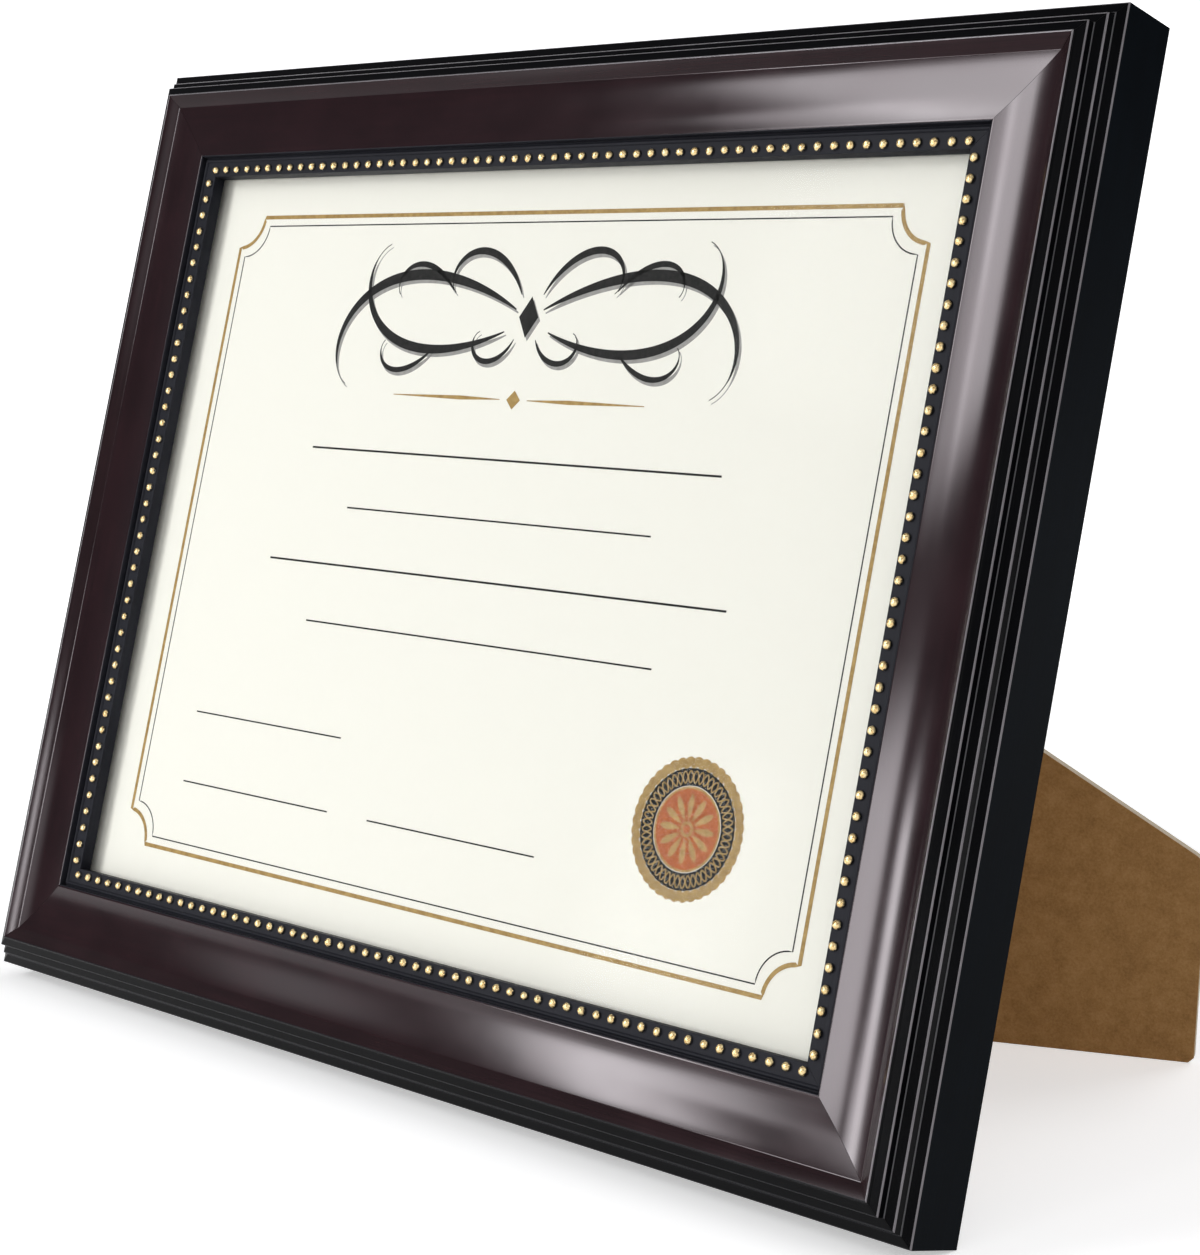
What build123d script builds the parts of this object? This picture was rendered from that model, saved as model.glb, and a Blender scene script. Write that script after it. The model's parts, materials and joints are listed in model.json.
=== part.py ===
from build123d import *
import os
from math import atan2, cos, degrees, floor, pi, radians, sin, tan

# A certificate frame for one letter-size sheet: four mitred rails of a stepped and
# scooped moulding with a gilded bead row, glazing, filler and backing board, and on
# the back a diagonal easel leg, turn buttons and two sawtooth hangers.
# It is drawn lying flat, X to the right, Y up the frame and Z towards the viewer,
# with Z = 0 on the rear face of the rails, and is then leaned back on its leg.

# Sheet and the stack behind the lip
SHEET_W = 279.4
SHEET_H = 215.9
SHEET_T = 0.3
SHEET_PLAY = 1.0        # sheet edge to rabbet wall
STACK_PLAY = 0.5        # glazing, filler and backing edge to rabbet wall
GLAZING_T = 2.0
BACKING_T = 2.5
BACKING_RECESS = 0.2    # backing board below the rear face

# Moulding section, from the outer edge inwards
MOULD_W = 32.8
RABBET_DEPTH = 17.0
LIP_T = 3.6
LIP_COVER = 5.0         # lip over the sheet
SIDE_H = 17.2
LEDGES = [(3.1, 0.1, 2.7), (2.5, 0.9, 2.3), (2.5, 0.3, 1.3)]  # tread, climb along it, riser
TREAD_HOLLOW = 0.35
STEEP_W = 3.6           # straight slope from the crest into the scoop
STEEP_DROP = 2.2
SCOOP_DROP = 2.3        # whole scoop, crest to the step above the lip
SCOOP_HOLLOW = 0.55
LIP_W = 5.6             # step to sight edge
ROLL_GAP = 0.3          # foot of the step to the small roll beside it
ROLL_W = 1.2
ROLL_H = 0.5
ARRIS = 0.3             # bevel along each outer edge
STEP_R = 0.8

# Bead row on the lip
BEAD_D = 2.4
BEAD_H = 1.3
BEAD_PITCH = 4.8
BEAD_INSET = 1.8        # sight edge to the bead's centre
BEAD_CORNER = 2.0       # least distance from the end bead to the corner of the bead line
BEAD_SHOULDER_D = 2.1
BEAD_SHOULDER_H = 0.7
BEAD_CROWN_D = 1.0
BEAD_SIDES = 6

# V-nails across the back of each mitre
NAIL_V_LEG = 5.0
NAIL_V_T = 0.5
NAIL_V_H = 10.0
NAIL_V_COUNT = 2        # at each corner, spread evenly over the rear face

# Easel leg and its hinge
LEAN = 15.3             # frame back from upright
LEG_OPEN = 32.3         # leg from the back of the frame
HINGE_FROM_LEFT = 112.2  # middle of the pin, from the edges of the backing board
HINGE_FROM_TOP = 41.0
HINGE_TURN = 45.0       # pin from horizontal
LEG_T = 2.5
LEG_CLOSED_GAP = 0.7    # closed leg behind the rear face of the rails
LEG_NECK_W = 38.0
LEG_FOOT_W = 83.0
LEG_FLARE = 14.0
LEG_SHOULDER_R = 260.0
LEG_FOOT_R = 6.0
LEG_TIP_CLIP = 1.5
LEG_TOP_GAP = 0.9       # hinge barrel to the top edge of the leg
PIN_PLAY = 0.05
BARREL_GAP = 0.3        # hinge barrel off the backing board
LEAF_T = 0.8
LEAF_W = 34.0
BOARD_LEAF_H = 22.0
LEG_LEAF_H = 26.0
KNUCKLE_W = 14.0        # middle knuckle, on the leg leaf
KNUCKLE_PLAY = 0.3
STOP_PLAY = 0.2         # heel to board leaf when the leg is open
LEAF_R = 4.0
RIVET_D = 4.0
RIVET_HEAD_D = 7.0
RIVET_HEAD_H = 1.2
RIVET_CROWN_D = 4.2
RIVET_TAIL_H = 0.4
RIVET_TAIL_D = 5.5
RIVET_PITCH = 20.0
RIVET_PLAY = 0.05
BOARD_RIVET_AT = 13.0   # pin to the rivets of each leaf
LEG_RIVET_AT = 17.0

# Turn buttons: place of each pivot along its rail
TOP_BUTTONS_U = 85.0
BOTTOM_LEFT_BUTTON_U = -85.0
BOTTOM_MIDDLE_BUTTON_U = 25.0
LEFT_BUTTON_V = -58.0
RIGHT_BUTTON_V = 40.0
BUTTON_PIVOT = 8.0      # pivot to rabbet wall
BUTTON_REACH = 18.0     # pivot to tip
BUTTON_W = 9.0
BUTTON_T = 1.2
BUTTON_BEND_AT = 12.0   # pivot to the bend of the finger tip
BUTTON_BEND = 20.0
BUTTON_PLAY = 0.1       # button to rail, and to screw head
SCREW_D = 2.8
SCREW_PLAY = 0.06
SCREW_DEPTH = 11.0
SCREW_POINT = 3.0
SCREW_TIP_D = 0.4
SCREW_HEAD_D = 6.0
SCREW_HEAD_H = 2.0
SCREW_RIM = 0.6         # straight rim below the domed head
SCREW_CROWN_D = 3.0

# Sawtooth hangers
HANGER_L = 46.0
HANGER_W = 9.0
HANGER_T = 0.9
HANGER_RISE = 1.6       # toothed middle off the wood
HANGER_TAB = 8.0        # flat tab at each end
HANGER_RAMP = 2.5
HANGER_TEETH = 9
TOOTH_PITCH = 2.6
TOOTH_DEPTH = 1.4
HANGER_FROM_EDGE = 13.0  # middle of the hanger to the outer edge of its rail
NAIL_D = 1.6
NAIL_PLAY = 0.05
NAIL_DEPTH = 9.0
NAIL_HEAD_D = 3.6
NAIL_HEAD_H = 0.7

FASTENER_SIDES = 8      # flats round a rivet, screw or nail

# Worked out from the sizes above
SIGHT_W = SHEET_W - 2 * LIP_COVER
SIGHT_H = SHEET_H - 2 * LIP_COVER
OUTER_W = SIGHT_W + 2 * MOULD_W
OUTER_H = SIGHT_H + 2 * MOULD_W
RABBET_W = SHEET_W + 2 * SHEET_PLAY
RABBET_H = SHEET_H + 2 * SHEET_PLAY
REAR_W = (OUTER_W - RABBET_W) / 2
LIP_H = RABBET_DEPTH + LIP_T
CREST_D = sum(tread for tread, climb, riser in LEDGES)
CREST_H = SIDE_H + sum(climb + riser for tread, climb, riser in LEDGES)
STACK_W = RABBET_W - 2 * STACK_PLAY
STACK_H = RABBET_H - 2 * STACK_PLAY
FILLER_T = RABBET_DEPTH - GLAZING_T - SHEET_T - BACKING_T - BACKING_RECESS
HINGE_U = HINGE_FROM_LEFT - STACK_W / 2
HINGE_V = STACK_H / 2 - HINGE_FROM_TOP
BARREL_R = (LEG_T + LEAF_T + LEG_CLOSED_GAP + BACKING_RECESS - BARREL_GAP) / 2
BOARD_FACE = BARREL_R + BARREL_GAP  # rear face of the backing board, from the pin
PIN_D = 2 * (BARREL_R - LEAF_T - PIN_PLAY)
LEG_TOP = BARREL_R + LEG_TOP_GAP
LEG_REAR = LEAF_T - BARREL_R      # outer face of the leg, from the pin
LEG_INNER = LEG_REAR + LEG_T      # inner face of the leg, from the pin


def nearest(sketch, points):
    """The sketch's corners that lie at the given points."""
    return [sketch.vertices().sort_by_distance(Vector(*point))[0] for point in points]


def hollow_arc(start, end, depth):
    """Arc that sags by depth below the middle of the line from start to end."""
    middle = ((start[0] + end[0]) / 2, (start[1] + end[1]) / 2 - depth)
    return ThreePointArc(start, middle, end)


def moulding_section():
    """Section of the rail: x inwards from the outer edge, y up from the rear face."""
    edges = [Line((0, 0), (0, SIDE_H))]
    arrises = [(0, SIDE_H)]
    d, h = 0, SIDE_H
    for tread, climb, riser in LEDGES:
        edges.append(hollow_arc((d, h), (d + tread, h + climb), TREAD_HOLLOW))
        d, h = d + tread, h + climb
        edges.append(Line((d, h), (d, h + riser)))
        h += riser
        arrises.append((d, h))
    ease = (CREST_D + STEEP_W, CREST_H - STEEP_DROP)
    step = (MOULD_W - LIP_W, CREST_H - SCOOP_DROP)
    roll = step[0] + ROLL_GAP
    edges.append(Line((CREST_D, CREST_H), ease))
    edges.append(hollow_arc(ease, step, SCOOP_HOLLOW))
    edges.append(Line(step, (step[0], LIP_H)))
    edges.append(Line((step[0], LIP_H), (roll, LIP_H)))
    edges.append(hollow_arc((roll, LIP_H), (roll + ROLL_W, LIP_H), -ROLL_H))
    edges.append(Line((roll + ROLL_W, LIP_H), (MOULD_W, LIP_H)))
    edges.append(Line((MOULD_W, LIP_H), (MOULD_W, RABBET_DEPTH)))
    edges.append(Line((MOULD_W, RABBET_DEPTH), (REAR_W, RABBET_DEPTH)))
    edges.append(Line((REAR_W, RABBET_DEPTH), (REAR_W, 0)))
    edges.append(Line((REAR_W, 0), (0, 0)))
    section = make_face(edges)
    section = chamfer(nearest(section, arrises + [(MOULD_W, LIP_H)]), ARRIS)
    return fillet(nearest(section, [step]), STEP_R)


def mitred_rail(length):
    """Rail along X with its outer edge on Y = 0 and both ends mitred."""
    plane = Plane(origin=(0, 0, 0), x_dir=(0, -1, 0), z_dir=(-1, 0, 0))
    bar = extrude(plane * moulding_section(), amount=length / 2, both=True)
    inner = length / 2 - MOULD_W
    corners = [(-length / 2, 0), (length / 2, 0), (inner, -MOULD_W), (-inner, -MOULD_W)]
    return bar & extrude(make_face(Polyline(*corners, close=True)), amount=2 * CREST_H)


def v_nail(at, corner_u, corner_v):
    """Bent strip across one mitre, flush with the rear face."""
    apex_u = corner_u * (OUTER_W / 2 - at)
    apex_v = corner_v * (OUTER_H / 2 - at)
    along = Box(NAIL_V_LEG, NAIL_V_T, NAIL_V_H, align=(Align.MAX, Align.MAX, Align.MIN))
    across = Box(NAIL_V_T, NAIL_V_LEG, NAIL_V_H, align=(Align.MAX, Align.MAX, Align.MIN))
    strip = along + across
    if corner_u < 0:
        strip = mirror(strip, about=Plane.YZ)
    if corner_v < 0:
        strip = mirror(strip, about=Plane.XZ)
    return Pos(apex_u, apex_v, 0) * strip


def corner_v_nails():
    """V-nails of all four mitres."""
    step = REAR_W / (NAIL_V_COUNT + 1)
    places = [step * (i + 1) for i in range(NAIL_V_COUNT)]
    return [v_nail(at, u, v) for at in places for u in (-1, 1) for v in (-1, 1)]


def faceted(sections, sides):
    """Turned piece with flat facets, through (diameter, height) sections from the bottom up."""
    tiers = []
    for (low_d, low), (high_d, high) in zip(sections, sections[1:]):
        draft = degrees(atan2((low_d - high_d) / 2 * cos(pi / sides), high - low))
        ring = Pos(0, 0, low) * RegularPolygon(low_d / 2, sides)
        tiers.append(extrude(ring, amount=high - low, taper=draft))
    return Part() + tiers


def bead():
    """Low gilded dome, standing on Z = 0."""
    return faceted([(BEAD_D, 0), (BEAD_SHOULDER_D, BEAD_SHOULDER_H), (BEAD_CROWN_D, BEAD_H)], BEAD_SIDES)


def bead_row(sight_length, sight_other):
    """Beads along X beside a sight edge that lies on the +Y side of the opening."""
    line = sight_length + 2 * BEAD_INSET
    count = floor((line - 2 * BEAD_CORNER) / BEAD_PITCH) + 1
    first = -(count - 1) * BEAD_PITCH / 2
    place = sight_other / 2 + BEAD_INSET
    dome = bead()
    return [Pos(first + i * BEAD_PITCH, place, LIP_H) * dome for i in range(count)]


def on_back(u, v, turn=0):
    """Place on the rear face, with local Z out of the back and local Y down the frame."""
    return Pos(u, v, 0) * Rot(X=180) * Rot(Z=turn)


def button_places():
    """Pivot of each turn button, with the tip pointing at the backing board."""
    u = RABBET_W / 2 + BUTTON_PIVOT
    v = RABBET_H / 2 + BUTTON_PIVOT
    return {
        "turn_button_top_left": on_back(-TOP_BUTTONS_U, v),
        "turn_button_top_right": on_back(TOP_BUTTONS_U, v),
        "turn_button_bottom_left": on_back(BOTTOM_LEFT_BUTTON_U, -v, 180),
        "turn_button_bottom_middle": on_back(BOTTOM_MIDDLE_BUTTON_U, -v, 180),
        "turn_button_left": on_back(-u, LEFT_BUTTON_V, -90),
        "turn_button_right": on_back(u, RIGHT_BUTTON_V, 90),
    }


def turn_button():
    """Pressed strip with round ends, its tip bent up for the finger."""
    r = BUTTON_W / 2
    rise = (BUTTON_REACH - BUTTON_BEND_AT) * tan(radians(BUTTON_BEND))
    under = [(-r, BUTTON_PLAY), (BUTTON_BEND_AT, BUTTON_PLAY), (BUTTON_REACH, BUTTON_PLAY + rise)]
    over = [(x, y + BUTTON_T) for x, y in reversed(under)]
    strip = extrude(Plane.YZ * make_face(Polyline(*under, *over, close=True)), amount=r, both=True)
    plan = Pos(0, (BUTTON_REACH - r) / 2) * SlotCenterToCenter(BUTTON_REACH - r, BUTTON_W, rotation=90)
    plan -= Circle(SCREW_D / 2 + SCREW_PLAY)
    return strip & extrude(plan, amount=BUTTON_PLAY + BUTTON_T + rise)


def turn_button_screw():
    """Domed wood screw under which a button turns."""
    seat = BUTTON_T + 2 * BUTTON_PLAY
    shank = [(SCREW_TIP_D, -SCREW_DEPTH), (SCREW_D, SCREW_POINT - SCREW_DEPTH), (SCREW_D, seat)]
    head = [(SCREW_HEAD_D, seat), (SCREW_HEAD_D, seat + SCREW_RIM), (SCREW_CROWN_D, seat + SCREW_HEAD_H)]
    return faceted(shank, FASTENER_SIDES) + faceted(head, FASTENER_SIDES)


def pilot(diameter, play, depth):
    """Hole for a shank, down from Z = 0."""
    width = diameter + 2 * play
    return faceted([(width, -depth), (width, 0)], FASTENER_SIDES)


def hanger_places():
    """Middle of each sawtooth hanger, with its teeth towards the sheet."""
    return {
        "landscape_hanger": on_back(0, OUTER_H / 2 - HANGER_FROM_EDGE),
        "portrait_hanger": on_back(HANGER_FROM_EDGE - OUTER_W / 2, 0, -90),
    }


def hanger_nail_spots():
    """The two nail holes of a hanger, along its length."""
    reach = (HANGER_L - HANGER_TAB) / 2
    return [Pos(-reach, 0, 0), Pos(reach, 0, 0)]


def sawtooth_hanger():
    """Strip whose toothed middle stands off the wood between two flat tabs."""
    end = HANGER_L / 2
    tab = end - HANGER_TAB
    flat = tab - HANGER_RAMP
    top = HANGER_RISE + HANGER_T
    under = [(-end, 0), (-tab, 0), (-flat, HANGER_RISE), (flat, HANGER_RISE), (tab, 0), (end, 0)]
    over = [(x, y + HANGER_T) for x, y in reversed(under)]
    side = make_face(Polyline(*under, *over, close=True))
    strip = extrude(Plane.XZ * side, amount=HANGER_W / 2, both=True)
    half = TOOTH_PITCH / 2
    notch = make_face(Polyline((-half, 0), (half, 0), (0, -TOOTH_DEPTH), close=True))
    for i in range(HANGER_TEETH):
        u = (i - (HANGER_TEETH - 1) / 2) * TOOTH_PITCH
        strip -= Pos(u, HANGER_W / 2, 0) * extrude(notch, amount=top)
    for spot in hanger_nail_spots():
        strip -= Pos(0, 0, top) * spot * pilot(NAIL_D, NAIL_PLAY, 2 * top)
    return strip


def hanger_nail():
    """Flat-headed nail through a hanger tab."""
    shank = faceted([(NAIL_D, -NAIL_DEPTH), (NAIL_D, HANGER_T)], FASTENER_SIDES)
    return shank + faceted([(NAIL_HEAD_D, HANGER_T), (NAIL_HEAD_D, HANGER_T + NAIL_HEAD_H)], FASTENER_SIDES)


def driven_holes():
    """All pilot holes in the rear face of the rails."""
    holes = [place * pilot(SCREW_D, SCREW_PLAY, SCREW_DEPTH) for place in button_places().values()]
    for place in hanger_places().values():
        holes += [place * spot * pilot(NAIL_D, NAIL_PLAY, NAIL_DEPTH) for spot in hanger_nail_spots()]
    return holes


def rails():
    """The four rails, cut for V-nails, screws and nails."""
    long_rail, short_rail = mitred_rail(OUTER_W), mitred_rail(OUTER_H)
    placed = {
        "top_rail": Pos(0, OUTER_H / 2, 0) * long_rail,
        "bottom_rail": Pos(0, -OUTER_H / 2, 0) * Rot(Z=180) * long_rail,
        "left_stile": Pos(-OUTER_W / 2, 0, 0) * Rot(Z=90) * short_rail,
        "right_stile": Pos(OUTER_W / 2, 0, 0) * Rot(Z=-90) * short_rail,
    }
    cuts = corner_v_nails() + driven_holes()
    return {name: rail - cuts for name, rail in placed.items()}


def bead_rows():
    """A bead row for each rail."""
    long_row, short_row = bead_row(SIGHT_W, SIGHT_H), bead_row(SIGHT_H, SIGHT_W)
    return {
        "top_beads": group(long_row),
        "bottom_beads": group([Rot(Z=180) * dome for dome in long_row]),
        "left_beads": group([Rot(Z=90) * dome for dome in short_row]),
        "right_beads": group([Rot(Z=-90) * dome for dome in short_row]),
    }


def group(shapes):
    """Separate solids under one name."""
    return Compound([solid for shape in shapes for solid in shape.solids()])


def stack():
    """Glazing, sheet, filler and backing board, from the lip to the back."""
    low = (Align.CENTER, Align.CENTER, Align.MIN)
    backing = Pos(0, 0, BACKING_RECESS) * Box(STACK_W, STACK_H, BACKING_T, align=low)
    for spot in board_rivet_spots():
        backing -= hinge_place() * spot * countersunk_hole()
    filler_z = BACKING_RECESS + BACKING_T
    return {
        "backing_board": backing,
        "filler_board": Pos(0, 0, filler_z) * Box(STACK_W, STACK_H, FILLER_T, align=low),
        "certificate": Pos(0, 0, filler_z + FILLER_T) * Box(SHEET_W, SHEET_H, SHEET_T, align=low),
        "glazing": Pos(0, 0, RABBET_DEPTH - GLAZING_T) * Box(STACK_W, STACK_H, GLAZING_T, align=low),
    }


def countersunk_hole():
    """Rivet hole through the backing board, opened out at its front face."""
    front = BOARD_FACE + BACKING_T
    shank, tail = RIVET_D + 2 * RIVET_PLAY, RIVET_TAIL_D + 2 * RIVET_PLAY
    return faceted([(shank, 0), (shank, front - RIVET_TAIL_H), (tail, front)], FASTENER_SIDES)


def hinge_place():
    """Middle of the pin: X along it, Y up and away from the leg, Z towards the board."""
    return Pos(HINGE_U, HINGE_V, BACKING_RECESS - BOARD_FACE) * Rot(Z=HINGE_TURN)


def leg_place():
    """The same place with the leg swung open."""
    return hinge_place() * Rot(X=LEG_OPEN)


def board_rivet_spots():
    """Rivets of the board leaf, from the pin."""
    return [Pos(side * RIVET_PITCH / 2, BOARD_RIVET_AT, 0) for side in (-1, 1)]


def leg_rivet_spots():
    """Rivets of the leg leaf, from the pin."""
    return [Pos(side * RIVET_PITCH / 2, -LEG_RIVET_AT, 0) for side in (-1, 1)]


def foot_slope():
    """Run along the pin per run down the leg, for the foot edge that lies on the table."""
    turn, swing, lean = radians(HINGE_TURN), radians(LEG_OPEN), radians(LEAN)
    return (cos(turn) * cos(swing) + tan(lean) * sin(swing)) / sin(turn)


def leg_reach():
    """Distance from the pin to the sharp tip of the foot, with the frame's rear edge on the table."""
    turn, swing, lean = radians(HINGE_TURN), radians(LEG_OPEN), radians(LEAN)
    pin_w = BACKING_RECESS - BOARD_FACE
    inner_v = HINGE_V - LEG_INNER * sin(swing) * cos(turn)
    inner_w = pin_w + LEG_INNER * cos(swing)
    drop = inner_v + inner_w * tan(lean) + OUTER_H / 2
    return drop / (cos(turn) * cos(swing) + tan(lean) * sin(swing))


def easel_leg():
    """Fibreboard leg: straight neck, flared foot and a tip between two foot edges."""
    neck, foot, tip = LEG_NECK_W / 2, LEG_FOOT_W / 2, leg_reach()
    heel = tip - foot / foot_slope()
    shoulder = heel - (foot - neck) / tan(radians(LEG_FLARE))
    right = [(neck, -LEG_TOP), (neck, -shoulder), (foot, -heel)]
    left = [(-x, y) for x, y in reversed(right)]
    blank = make_face(Polyline(*right, (0, -tip), *left, close=True))
    blank = fillet(nearest(blank, [right[1], left[1]]), LEG_SHOULDER_R)
    blank = fillet(nearest(blank, [right[2], left[0]]), LEG_FOOT_R)
    blank = chamfer(nearest(blank, [(0, -tip)]), LEG_TIP_CLIP)
    leg = Pos(0, 0, LEG_REAR) * extrude(blank, amount=LEG_T)
    for spot in leg_rivet_spots():
        leg -= Pos(0, 0, LEG_INNER + LEG_T) * spot * pilot(RIVET_D, RIVET_PLAY, 3 * LEG_T)
    return leg


def leaf_plate(height, rivet_spots):
    """Flat of a hinge leaf, from the pin's line upwards, with rounded far corners."""
    plan = Pos(0, height / 2) * Rectangle(LEAF_W, height)
    plan = fillet(nearest(plan, [(-LEAF_W / 2, height), (LEAF_W / 2, height)]), LEAF_R)
    for spot in rivet_spots:
        plan -= spot * RegularPolygon(RIVET_D / 2 + RIVET_PLAY, FASTENER_SIDES)
    return extrude(plan, amount=LEAF_T)


def barrel(width, radius):
    """Cylinder along the pin."""
    return Rot(Y=90) * Cylinder(radius, width)


def hinge_board_leaf():
    """Leaf on the backing board, with a knuckle at each end of the pin."""
    plate = Pos(0, 0, BOARD_FACE - LEAF_T) * leaf_plate(BARREL_R + BOARD_LEAF_H, board_rivet_spots())
    leaf = plate + barrel(LEAF_W, BARREL_R)
    gap = KNUCKLE_W + 2 * KNUCKLE_PLAY
    leaf -= Box(gap, 2 * (BARREL_R + KNUCKLE_PLAY), 4 * BARREL_R)
    return leaf - barrel(2 * LEAF_W, PIN_D / 2 + PIN_PLAY)


def hinge_leg_leaf():
    """Leaf on the outer face of the leg, with the middle knuckle and the stop heel."""
    spots = [Rot(X=180) * spot for spot in leg_rivet_spots()]
    plate = Rot(X=180) * Pos(0, 0, BARREL_R - LEAF_T) * leaf_plate(LEG_TOP + LEG_LEAF_H, spots)
    plate -= Box(2 * LEAF_W, 2 * (BARREL_R + KNUCKLE_PLAY), 4 * BARREL_R)
    tongue_y = (-LEG_TOP, heel_length())
    tongue = Box(KNUCKLE_W, tongue_y[1] - tongue_y[0], LEAF_T, align=(Align.CENTER, Align.MIN, Align.MIN))
    leaf = plate + Pos(0, tongue_y[0], -BARREL_R) * tongue + barrel(KNUCKLE_W, BARREL_R)
    return leaf - barrel(2 * LEAF_W, PIN_D / 2 + PIN_PLAY)


def heel_length():
    """Heel past the pin that meets the board leaf when the leg is open."""
    swing = radians(LEG_OPEN)
    heel_face, leaf_face = BARREL_R - LEAF_T, BOARD_FACE - LEAF_T
    return (heel_face * cos(swing) + leaf_face - STOP_PLAY) / sin(swing)


def hinge_pin():
    """Pin through all three knuckles."""
    return barrel(LEAF_W, PIN_D / 2)


def rivet(grip, tail):
    """Rivet with its head above Z = 0, its shank down through the grip, and a tail below that."""
    head = [(RIVET_HEAD_D, 0), (RIVET_CROWN_D, RIVET_HEAD_H)]
    shank = [(RIVET_D, -grip), (RIVET_D, 0)]
    solids = [faceted(sections, FASTENER_SIDES) for sections in (tail, shank, head)]
    return solids[0] + solids[1] + solids[2]


def board_rivets():
    """Rivets through the board leaf, countersunk flush in the front of the backing board."""
    grip = LEAF_T + BACKING_T - RIVET_TAIL_H
    tail = [(RIVET_TAIL_D, -grip - RIVET_TAIL_H), (RIVET_D, -grip)]
    seat = Pos(0, 0, BOARD_FACE - LEAF_T) * Rot(X=180)
    return group([spot * seat * rivet(grip, tail) for spot in board_rivet_spots()])


def leg_rivets():
    """Rivets through the leg leaf, clinched flat on the inner face of the leg."""
    grip = LEAF_T + LEG_T
    tail = [(RIVET_TAIL_D, -grip - RIVET_TAIL_H), (RIVET_TAIL_D, -grip)]
    seat = Pos(0, 0, -BARREL_R) * Rot(X=180)
    return group([spot * seat * rivet(grip, tail) for spot in leg_rivet_spots()])


def flat_frame():
    """Every piece by name, in the lying-flat frame with the leg open."""
    pieces = {**rails(), **bead_rows(), **stack()}
    pieces["corner_v_nails"] = group(corner_v_nails())
    for name, shape in (("hinge_board_leaf", hinge_board_leaf()), ("hinge_pin", hinge_pin()),
                        ("board_rivets", board_rivets())):
        pieces[name] = hinge_place() * shape
    for name, shape in (("easel_leg", easel_leg()), ("hinge_leg_leaf", hinge_leg_leaf()),
                        ("leg_rivets", leg_rivets())):
        pieces[name] = leg_place() * shape
    screws = []
    for name, place in button_places().items():
        pieces[name] = place * turn_button()
        screws.append(place * turn_button_screw())
    pieces["turn_button_screws"] = group(screws)
    nails = []
    for name, place in hanger_places().items():
        pieces[name] = place * sawtooth_hanger()
        nails += [place * spot * hanger_nail() for spot in hanger_nail_spots()]
    pieces["hanger_nails"] = group(nails)
    return pieces


def stand(pieces):
    """The place that leans the frame back and sets the middle of its box on the origin."""
    lean = Rot(X=90 - LEAN)
    box = Compound([lean * shape for shape in pieces.values()]).bounding_box()
    middle = box.center()
    return Pos(-middle.X, -middle.Y, -box.min.Z) * lean


def main():
    os.makedirs("parts", exist_ok=True)
    pieces = flat_frame()
    place = stand(pieces)
    for name, shape in pieces.items():
        export_step(place * shape, f"parts/{name}.step")
    pin = place * hinge_place()
    print("leg reach", round(leg_reach(), 2), "filler", round(FILLER_T, 2))
    print("pin at", pin.position, "along", Plane(pin).x_dir)
    for name, button in button_places().items():
        pivot = Plane(place * button)
        print(name, "pivot", pivot.origin, "axis", pivot.z_dir)
    for name, hanger in hanger_places().items():
        print(name, Plane(place * hanger).origin)


main()
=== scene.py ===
import json
import math
import random

import bmesh
import bpy
from mathutils import Matrix, Vector


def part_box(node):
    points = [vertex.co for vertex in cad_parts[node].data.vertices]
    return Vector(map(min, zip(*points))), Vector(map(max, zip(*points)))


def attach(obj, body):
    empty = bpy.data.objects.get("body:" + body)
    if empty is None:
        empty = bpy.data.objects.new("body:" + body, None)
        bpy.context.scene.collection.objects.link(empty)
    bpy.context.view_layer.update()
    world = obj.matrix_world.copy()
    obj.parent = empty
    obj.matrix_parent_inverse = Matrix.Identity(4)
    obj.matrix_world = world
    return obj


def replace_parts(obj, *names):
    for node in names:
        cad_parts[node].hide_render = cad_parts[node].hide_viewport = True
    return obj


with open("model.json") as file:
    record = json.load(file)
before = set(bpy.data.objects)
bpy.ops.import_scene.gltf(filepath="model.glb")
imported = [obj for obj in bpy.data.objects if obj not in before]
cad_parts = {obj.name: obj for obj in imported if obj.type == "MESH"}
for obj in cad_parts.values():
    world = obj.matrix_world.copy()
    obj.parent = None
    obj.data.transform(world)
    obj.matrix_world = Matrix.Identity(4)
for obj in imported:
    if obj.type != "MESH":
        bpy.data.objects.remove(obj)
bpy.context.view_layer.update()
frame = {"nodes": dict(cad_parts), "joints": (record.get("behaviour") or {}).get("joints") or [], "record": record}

# Sizes in millimetres, in the flat frame: u to the right, v up the frame, w towards the viewer,
# with w = 0 on the rear face of the rails. The moulding section runs inwards from the outer edge.
MM = 0.001
SHEET_W, SHEET_H = 279.4, 215.9
LIP_COVER = 5.0
SHEET_PLAY = 1.0
MOULD_W = 32.8
RABBET_DEPTH = 17.0
LIP_T = 3.6
SIDE_H = 17.13
# Each ledge: tread, climb along it, then the riser's run inwards and its rise
LEDGES = [(2.55, 0.92, 0.55, 1.95), (2.5, 0.9, 0.0, 2.3), (2.31, 0.78, 0.33, 0.734)]
STEEP_W, STEEP_DROP, STEEP_SWELL = 3.46, 2.114, 0.07
SCOOP_DROP, SCOOP_HOLLOW = 2.214, 0.55
LIP_W = 5.6
ROLL_GAP, ROLL_W, ROLL_H = 0.3, 1.2, 0.5
ARRIS_R, FOOT_R = 0.3, 0.2  # rounding at the top and the foot of each riser
STEP_R = 0.8
EASE_R = 0.2                # slope into the scoop
HOLD = 0.04                 # a point this far beside each eased corner keeps the flat next to it flat
MITRE_GAP = 0.05            # each rail end to the mitre plane
GLAZING_T = 2.0
SHEET_T = 0.2
SHEET_GAP = 0.12            # sheet behind the glazing
INK_T = 0.02
BEAD_D, BEAD_H = 2.4, 1.3
BEAD_PITCH, BEAD_INSET, BEAD_CORNER = 4.8, 1.8, 2.0
PANE_OVER, PANE_GAP = 1.0, 0.02     # pane wider than the sheet, and its gap to the lip
BORDER_INSET, BORDER_RULE = 11.0, 1.1       # sight edge to the printed border, and its width
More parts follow.
